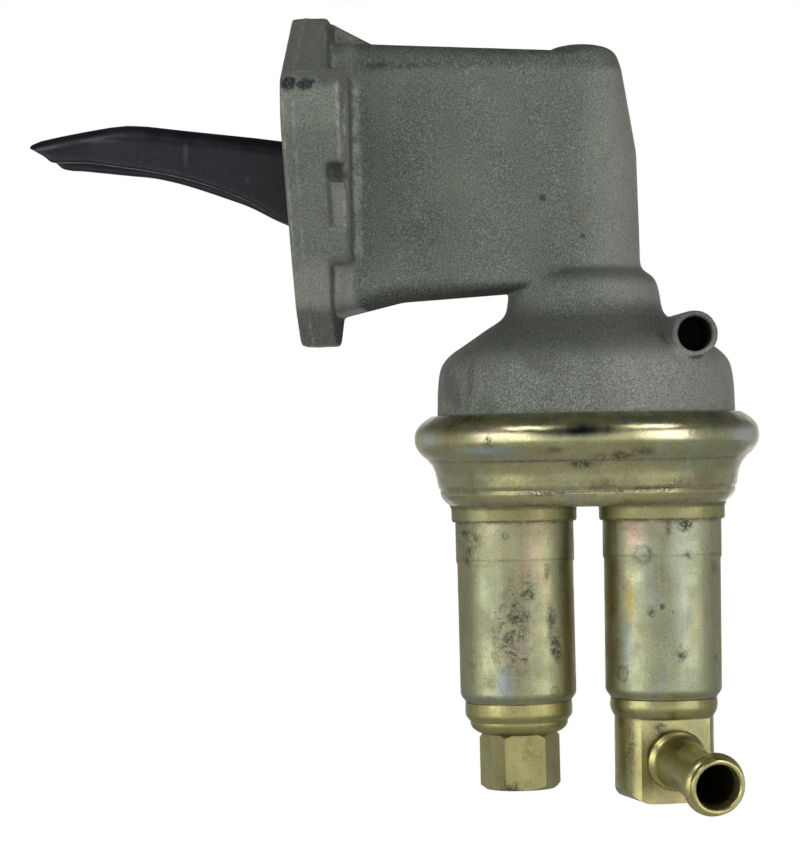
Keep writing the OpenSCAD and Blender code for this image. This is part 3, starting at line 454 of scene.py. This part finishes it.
fit_l = zinc("zinc_hexagon", tone=(1.10, 1.01, 0.73), stains=[((46.5, -8.0, -149.2), (4.2, 3, 2.6), 0.95), ((40.5, -5, -140), (1.5, 3, 5), 0.25), ((50, -8, -141), (2.5, 3, 4), 0.35)],
             tints=[((47, -12, -137.6), (9, 8, 0.7), 0.9, (0.07, 0.065, 0.04)), ((56.5, -7, -132), (3, 8, 4), 0.6, GOLD), ((36.5, -7, -132), (2, 8, 4), 0.4, GOLD), ((52, -7.5, -143), (3, 3, 6), 0.4, GOLD)], rough=(0.34, 0.50), lines=1.6)
NIP = Vector((0.08689, -0.01849, -0.14505)) * 1000
NIP_D = Vector((0.322239, -0.938471, -0.124235)).normalized()
block_m = zinc("zinc_block", tone=(1.00, 0.93, 0.74), stains=[((73.0, -10, -141.0), (1.2, 4, 9.0), 0.75), ((79.3, -8.0, -136.0), (2.0, 3, 1.6), 0.9), ((70.8, -6, -134), (1.2, 5, 3), 0.5), ((80, -8, -150), (4, 3, 2), 0.3)],
               tints=[((70.2, -4, -140), (2.0, 9, 14), 0.8, GOLD), ((80.5, -8, -143.5), (9, 3, 9), 0.4, PINK), ((77.2, -9, -143.5), (1.2, 4, 9), 0.5, BROWN), ((80, -11, -134.2), (10, 5, 0.8), 0.8, (0.06, 0.055, 0.035)), ((92, -6, -131.5), (2.5, 8, 4), 0.6, GOLD), ((83, -9, -152.3), (9, 6, 1.0), 0.6, PINK)], rough=(0.28, 0.44))
nipple_m = zinc("zinc_nipple", tone=(1.55, 1.40, 1.02), stains=[((84.5, -14, -139.5), (2.5, 4, 1.5), 0.5), ((83, -20, -147), (3, 6, 1.5), 0.45)],
                tints=[((83.3, -8.1, -143.7), (10, 2.4, 10), 0.7, PINK), ((82.6, -10.6, -143.9), (10, 1.5, 10), 0.6, BROWN), ((85.0, -15, -140.0), (6, 9, 2.5), 0.5, GOLD), ((84.0, -20, -148.0), (7, 10, 3.0), 0.6, BROWN)], rough=(0.24, 0.40), lines=0.0,
                bore=(tuple(NIP + NIP_D * 15.0), tuple(NIP_D), 4.85, 2.8))

put("upper_housing", cast)
put("rocker_arm", steel_black)
put("lower_cover", cover_m)
put("outlet_canister", can_l)
put("inlet_canister", can_r)
put("outlet_fitting", fit_l)
put("inlet_elbow_block", block_m)
put("inlet_hose_nipple", nipple_m)
inner_steel = simple("plain_steel", (0.42, 0.42, 0.41), (0.30, 0.30, 0.29), 0.9, 0.35)
spring_steel = simple("spring_steel", (0.34, 0.34, 0.33), (0.20, 0.20, 0.19), 0.9, 0.38)
brass = simple("brass", (0.55, 0.40, 0.17), (0.42, 0.29, 0.11), 0.95, 0.33)
rubber = simple("black_rubber", (0.022, 0.022, 0.022), (0.038, 0.037, 0.035), 0.0, 0.62)
resin = simple("brown_resin", (0.16, 0.085, 0.04), (0.10, 0.05, 0.022), 0.0, 0.5)
plate_z = zinc("zinc_plates", rough=(0.26, 0.38))
plug_m = simple("plug_steel", (0.33, 0.33, 0.31), (0.20, 0.20, 0.19), 0.85, 0.42)
for n in ("pivot_pin", "link_lever", "link_washers", "pull_rod", "inlet_valve_stem", "outlet_valve_stem", "seal_retainer", "stem_nut"):
    put(n, inner_steel)
for n in ("rocker_spring", "diaphragm_spring", "inlet_valve_spring", "outlet_valve_spring"):
    put(n, spring_steel)
for n in ("rocker_bush", "inlet_valve_seat", "outlet_valve_seat"):
    put(n, brass)
for n in ("stem_seal", "diaphragm"):
    put(n, rubber)
for n in ("inlet_valve_disc", "outlet_valve_disc"):
    put(n, resin)
for n in ("diaphragm_upper_plate", "diaphragm_lower_plate"):
    put(n, plate_z)
put("pivot_plug", plug_m)


# ------------------------------------------------------------------ finer pieces that replace their CAD nodes
def mesh_of(node, merge=4e-6):
    """A clean welded copy of a CAD node's mesh, in the row frame."""
    src = NODES[node]
    bm = bmesh.new()
    bm.from_mesh(src.data)
    bm.transform(src.matrix_world)
    bmesh.ops.remove_doubles(bm, verts=bm.verts, dist=merge)
    bmesh.ops.dissolve_degenerate(bm, dist=merge, edges=bm.edges)
    verts = [tuple(v.co) for v in bm.verts]
    faces = [tuple(v.index for v in f.verts) for f in bm.faces]
    bm.free()
    me = bpy.data.meshes.new(node)
    me.from_pydata(verts, [], faces)
    me.validate()
    return me


def piece(name, me, material, body, replaced=(), angle=None):
    me.name = name
    me.materials.clear()
    me.materials.append(material)
    for poly in me.polygons:
        poly.use_smooth = True
    if angle is not None:
        me.set_sharp_from_angle(angle=angle * RAD)
    o = bpy.data.objects.new(name, me)
    scene.collection.objects.link(o)
    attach(o, body)
    if replaced:
        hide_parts(*replaced)
    return o


def evaluated(me, *mods):
    """The mesh after a row of modifiers, each given as (type, settings)."""
    o = bpy.data.objects.new("work", me)
    scene.collection.objects.link(o)
    for kind, settings in mods:
        m = o.modifiers.new(kind.lower(), kind)
        for k, v in settings.items():
            setattr(m, k, v)
    dg = bpy.context.evaluated_depsgraph_get()
    out = bpy.data.meshes.new_from_object(o.evaluated_get(dg))
    bpy.data.objects.remove(o)
    return out


def soft_cast(me, voxel, rounds, most):
    """Voxel remesh, smooth and thin out, so that sharp CAD edges become the soft edges of a casting."""
    out = evaluated(me, ("REMESH", {"mode": "VOXEL", "voxel_size": voxel}), ("SMOOTH", {"factor": 0.5, "iterations": rounds}))
    tris = sum(len(f.vertices) - 2 for f in out.polygons)
    if tris > most:
        out = evaluated(out, ("DECIMATE", {"ratio": most / tris}))
    return out


def rounded(pts, n=10):
    out = []
    for i, (x, y, r) in enumerate(pts):
        a, b, c = Vector(pts[i - 1][:2]), Vector((x, y)), Vector(pts[(i + 1) % len(pts)][:2])
        u, v = (a - b).normalized(), (c - b).normalized()
        half = u.angle(v) / 2
        mid = b + (u + v).normalized() * (r / math.sin(half))
        s0, e0 = b + u * (r / math.tan(half)) - mid, b + v * (r / math.tan(half)) - mid
        a0 = math.atan2(s0.y, s0.x)
        d = math.atan2(s0.x * e0.y - s0.y * e0.x, s0.dot(e0))
        out += [mid + Vector((math.cos(a0 + d * k / n), math.sin(a0 + d * k / n))) * r for k in range(n + 1)]
    return out


def sweep(name, rings_, closed):
    """A strip from equal rings of points."""
    n = len(rings_[0])
    verts = [tuple(p) for ring in rings_ for p in ring]
    faces = []
    last = len(rings_) if closed else len(rings_) - 1
    for i in range(last):
        j = (i + 1) % len(rings_)
        for k in range(n):
            faces.append((i * n + k, i * n + (k + 1) % n, j * n + (k + 1) % n, j * n + k))
    if not closed:
        faces += [tuple(range(n))[::-1], tuple((len(rings_) - 1) * n + k for k in range(n))]
    me = bpy.data.meshes.new(name)
    me.from_pydata(verts, [], faces)
    bm = bmesh.new()
    bm.from_mesh(me)
    bmesh.ops.recalc_face_normals(bm, faces=bm.faces)
    bm.to_mesh(me)
    bm.free()
    return me


def smooth_line(pts, step):
    """Catmull-Rom line through points, at about the given step."""
    out = []
    for i in range(len(pts) - 1):
        a, b, c, d = (Vector(pts[max(0, min(len(pts) - 1, i + k))]) for k in (-1, 0, 1, 2))
        n = max(1, int((c - b).length / step))
        for k in range(n):
            t = k / n
            out.append(0.5 * (2 * b + (c - a) * t + (2 * a - 5 * b + 4 * c - d) * t * t + (3 * b - a - 3 * c + d) * t ** 3))
    return out + [Vector(pts[-1])]


# the casting, with softened edges
housing = soft_cast(mesh_of("upper_housing"), 0.0005, 14, 190000)
piece("housing_casting", housing, cast, "housing", ("upper_housing",))

# the mould's parting line round the flange: a low ridge, worn away here and there
half = [(13, 24.3, 3), (39.2, 7.4, 3), (39.2, -2.6, 9), (23, -30, 14), (15, -42, 7), (6, -49.1, 6)]
outline = rounded(half + [(-x, y, r) for x, y, r in half[::-1]], 12)
dense = []
for i, p in enumerate(outline):
    q = outline[(i + 1) % len(outline)]
    k = max(1, int((q - p).length / 0.6))
    dense += [p.lerp(q, t / k) for t in range(k)]
ridge = []
for i, p in enumerate(dense):
    t = (dense[(i + 1) % len(dense)] - dense[i - 1]).normalized()
    out_n = Vector((t.y, -t.x))
    if out_n.dot(p - Vector((0, -8))) < 0:
        out_n = -out_n
    h = 0.24 + 0.07 * math.sin(i * 0.37) + 0.04 * math.sin(i * 1.13 + 1)
    x0 = 3.0 + 0.06 * math.sin(i * 0.11)
    h *= 1.0 - 0.7 * max(0.0, abs(out_n.y) - 0.7) / 0.3
    h = min(h, 39.40 - abs(p.x))
    ring = []
    for dx, dn in ((-0.34, -0.22), (-0.26, 0.02), (-0.10, h), (0.10, h), (0.26, 0.02), (0.34, -0.22)):
        ring.append(Vector((x0 + dx, p.x + out_n.x * dn, p.y + out_n.y * dn)) / 1000)
    ridge.append(ring)
piece("flange_parting_line", sweep("flange_parting_line", ridge, True), cast, "housing")

# the rocker arm, folded with round bends
arm_top = [(-125.7, 65.5), (-123.6, 66.3), (-119, 67.2), (-113, 68.2), (-107.5, 69), (-103.5, 69.3), (-99, 69), (-91, 67.9),
           (-82.5, 66.8), (-74, 65.7), (-66, 64.5), (-58, 63.2), (-50.5, 62.2), (-47.6, 65.6), (-24, 65.6), (-20, 63.5)]


def top_at(xa):
    if xa <= arm_top[0][0]:
        return arm_top[0][1]
    for (x0, z0), (x1, z1) in zip(arm_top, arm_top[1:]):
        if xa <= x1:
            return z0 + (z1 - z0) * (xa - x0) / (x1 - x0)
    return arm_top[-1][1]


arm = evaluated(mesh_of("rocker_arm"), ("REMESH", {"mode": "VOXEL", "voxel_size": 0.0004}), ("SMOOTH", {"factor": 0.5, "iterations": 5}))
BEND = 3.8
for v in arm.vertices:
    x, y, z = (c * 1000 for c in v.co)
    xa, zc = x - 64.2, z + 67
    d, e = top_at(xa) - zc, 7.0 - abs(y)
    if d < BEND and e < BEND and xa < -50:
        a, b = BEND - d, BEND - e
        far = math.hypot(a, b)
        if far > BEND:
            a, b = a * BEND / far, b * BEND / far
            v.co.z = (top_at(xa) - (BEND - a) - 67) / 1000
            v.co.y = math.copysign(7.0 - (BEND - b), y) / 1000
arm = evaluated(arm, ("SMOOTH", {"factor": 0.5, "iterations": 3}))
piece("rocker_arm_folded", arm, steel_black, "rocker", ("rocker_arm",))

# turned and drawn pieces, with smooth surfaces between their real edges
for node, name, mat_, angle in (("lower_cover", "cover_drawn", collar_m, 40), ("outlet_canister", "canister_left", can_l, 35),
                                ("inlet_canister", "canister_right", can_r, 35), ("outlet_fitting", "fitting_hexagon", fit_l, 28),
                                ("inlet_elbow_block", "block_turned", block_m, 30)):
    me = mesh_of(node)
    if node == "lower_cover":
        # the plain cover steps back a little under its pressed skin
        for v in me.vertices:
            x, y = v.co.x - 0.0642, v.co.y
            far = math.hypot(x, y)
            if far > 0.0315:
                v.co.x, v.co.y = 0.0642 + x * (far - 0.0003) / far, y * (far - 0.0003) / far
    for poly in me.polygons:
        poly.use_smooth = True
    me.set_sharp_from_angle(angle=angle * RAD)
    piece(name, evaluated(me, ("WEIGHTED_NORMAL", {"mode": "FACE_AREA", "weight": 50, "keep_sharp": True})), mat_, "housing", (node,))


# the cover's pressed skin: creases and slight waves of the rolled rim, just outside the plain cover
rim = smooth_line([(33.96, 1.30), (34.6, 1.38), (35.1, 1.34), (35.6, 1.12), (36.4, 0.56), (37.35, -0.16), (38.17, -1.0), (38.75, -1.95), (39.03, -3.0), (39.05, -4.1), (38.88, -5.2),
                   (38.33, -6.35), (37.45, -7.5), (36.75, -8.15), (36.35, -8.5)], 0.3)
rim += smooth_line([(36.16, -8.72), (35.99, -8.94), (35.84, -9.12)], 0.12)
rim += smooth_line([(35.72, -9.25), (35.32, -9.65), (34.8, -10.7), (34.42, -11.8), (34.12, -13.3), (33.84, -14.7)], 0.35)
rim += smooth_line([(33.62, -15.15), (33.42, -15.5), (33.46, -15.95)], 0.15)
rim += smooth_line([(33.38, -16.5), (33.02, -17.25), (32.5, -17.86), (31.9, -18.4), (31.2, -18.86), (30.4, -19.08), (29.4, -19.13)], 0.3)
back = [Vector((29.4, -18.9)), Vector((31.0, -18.5)), Vector((32.2, -17.5)), Vector((33.1, -15.6)), Vector((34.0, -11.8)), Vector((35.0, -9.4)), Vector((37.0, -7.4)), Vector((38.5, -4.6)), Vector((37.6, -1.2)), Vector((36.0, 0.4)), Vector((34.6, 0.9)), Vector((33.98, 1.0))]
SEG = 400
loops = []
for k in range(SEG):
    a = 2 * math.pi * k / SEG
    ring = []
    for i, q in enumerate(rim + back):
        r, z = q
        if 2 < i < len(rim) - 2:
            n1 = noise.noise(Vector((math.cos(a) * 5, math.sin(a) * 5, z * 0.22)))
            n2 = noise.noise(Vector((math.cos(a) * 14, math.sin(a) * 14, z * 0.5 + 7)))
            r += 0.035 * n1 + 0.012 * n2 - 0.07
            if -2 < z:
                r += 0.02 * math.sin(a * 36)
        ring.append(Vector((0.0642 + r * math.cos(a) / 1000, r * math.sin(a) / 1000, (z - 67) / 1000)))
    loops.append(ring)
piece("cover_rim_skin", sweep("cover_rim_skin", loops, True), cover_m, "housing", (), 38)

# the hose nipple: a tube with a braze ring at its root, a rolled bead and a turned-in lip
side = Vector((0, 0, 1)).cross(NIP_D).normalized()
over = NIP_D.cross(side)
root = (NIP - NIP_D * 19.7) / 1000
tube = smooth_line([(5.60, 5.0), (5.60, 7.6)], 0.5) + smooth_line([(6.15, 7.9), (6.75, 8.15), (6.92, 8.6), (6.75, 9.1), (6.2, 9.6), (5.78, 10.2), (5.62, 11.0)], 0.25)
tube += smooth_line([(5.60, 12.0), (5.60, 27.6), (5.66, 28.5), (5.95, 29.2), (6.45, 29.9), (6.87, 30.7), (7.0, 31.5), (6.90, 32.25), (6.6, 32.9), (6.30, 33.3), (6.13, 33.52)], 0.3)
tube += smooth_line([(6.16, 33.66), (6.22, 33.9), (6.16, 34.3), (5.95, 34.6), (5.65, 34.7), (5.3, 34.62), (5.02, 34.35), (4.92, 33.9), (4.80, 33.2), (4.70, 32.2)], 0.15)
tube += smooth_line([(4.70, 31.0), (4.70, 4.8)], 1.0)
ribs = []
for k in range(160):
    a = 2 * math.pi * k / 160
    ribs.append([root + NIP_D * (q[1] / 1000) + (side * math.cos(a) + over * math.sin(a)) * ((q[0] + 0.03 * noise.noise(Vector((math.cos(a) * 3, math.sin(a) * 3, q[1] * 0.5)))) / 1000) for q in tube])
piece("nipple_beaded", sweep("nipple_beaded", ribs, True), nipple_m, "housing", ("inlet_hose_nipple",), 50)

# thread in the outlet, seen from below
lean = Matrix.Translation((0.04745, 0, -0.087)) @ Matrix.Rotation(-0.42 * RAD, 4, "Y")
turns, per, pitch = 9, 48, 1.27
helix = []
for i in range(turns * per + 1):
    a = 2 * math.pi * i / per
    z = -63.0 + i / per * pitch
    depth = 0.42 * min(1.0, i / per, (turns * per - i) / per)
    ring = []
    for dr, dz in ((0.12, -0.55), (-depth, -0.09), (-depth, 0.09), (0.12, 0.55)):
        r = 5.75 + dr
        ring.append(lean @ (Vector((r * math.cos(a), r * math.sin(a), z + dz)) / 1000))
    helix.append(ring)
piece("outlet_thread", sweep("outlet_thread", helix, False), fit_l, "housing", (), 30)


# ------------------------------------------------------------------ stage and light
def stage_plane(name, size, at, rot=(0, 0, 0)):
    s = size / 2
    me = bpy.data.meshes.new(name)
    me.from_pydata([(-s, -s, 0), (s, -s, 0), (s, s, 0), (-s, s, 0)], [], [(0, 1, 2, 3)])
    o = bpy.data.objects.new(name, me)
    o.location = at
    o.rotation_euler = rot
    scene.collection.objects.link(o)
    return o


# the floor lies below the picture, and lights the pump from under it as a white table does
floor = stage_plane("floor", 2.3, (0, 0, -0.42))
fm = Mat("floor_pale")
floor.data.materials.append(fm.set(Base_Color=fm.mix(fm.noise(3, 2.0, 0.5), (0.90, 0.90, 0.89), (0.94, 0.94, 0.93)), Roughness=0.9))


def area(name, at, to, size, power, colour=(1, 1, 1), size_y=None):
    d = bpy.data.lights.new(name, "AREA")
    d.shape = "RECTANGLE"
    d.size = size
    d.size_y = size_y or size
    d.energy = power
    d.color = colour
    o = bpy.data.objects.new(name, d)
    o.location = at
    v = Vector(to) - Vector(at)
    o.rotation_euler = v.to_track_quat("-Z", "Y").to_euler()
    scene.collection.objects.link(o)
    return o


area("front_low", (0.0, -1.75, -0.30), (0.06, 0, -0.06), 2.6, 6.3, size_y=0.9)
area("left_soft", (-1.40, -1.00, -0.15), (0.06, 0, -0.06), 1.3, 12.0, size_y=1.1)
area("right_soft", (1.52, -1.00, -0.10), (0.06, 0, -0.06), 1.3, 10.0, size_y=1.1)
area("top_left", (-0.62, -0.76, 0.88), (0.06, 0, -0.06), 0.55, 4.2, size_y=0.40)
area("top_right", (0.88, -0.64, 0.82), (0.06, 0, -0.06), 0.60, 4.2, size_y=0.40)
area("back_soft", (0.1, 1.6, -0.1), (0.06, 0, -0.06), 1.2, 3.0)

world = bpy.data.worlds.new("world")
scene.world = world
world.use_nodes = True
wt = world.node_tree
wt.nodes.clear()
wo = wt.nodes.new("ShaderNodeOutputWorld")
tc = wt.nodes.new("ShaderNodeTexCoord")
sep = wt.nodes.new("ShaderNodeSeparateXYZ")
wt.links.new(tc.outputs["Generated"], sep.inputs[0])
rmp = wt.nodes.new("ShaderNodeValToRGB")
mr = wt.nodes.new("ShaderNodeMapRange")
wt.links.new(sep.outputs[2], mr.inputs[0])
mr.inputs[1].default_value, mr.inputs[2].default_value = -1.0, 1.0
wt.links.new(mr.outputs[0], rmp.inputs[0])
els = rmp.color_ramp.elements
while len(els) < 5:
    els.new(0.5)
for el, (p, v) in zip(els, [(0.0, 0.40), (0.42, 0.50), (0.54, 0.42), (0.66, 0.16), (0.80, 0.06)]):
    el.position = p
    el.color = (v, v, v * 1.02, 1)
lit = wt.nodes.new("ShaderNodeBackground")
lit.inputs[1].default_value = 1.0
wt.links.new(rmp.outputs[0], lit.inputs[0])
seen = wt.nodes.new("ShaderNodeBackground")
seen.inputs[0].default_value = (1, 1, 1, 1)
seen.inputs[1].default_value = 1.0
lp = wt.nodes.new("ShaderNodeLightPath")
mx = wt.nodes.new("ShaderNodeMixShader")
wt.links.new(lp.outputs["Is Camera Ray"], mx.inputs[0])
wt.links.new(lit.outputs[0], mx.inputs[1])
wt.links.new(seen.outputs[0], mx.inputs[2])
wt.links.new(mx.outputs[0], wo.inputs[0])
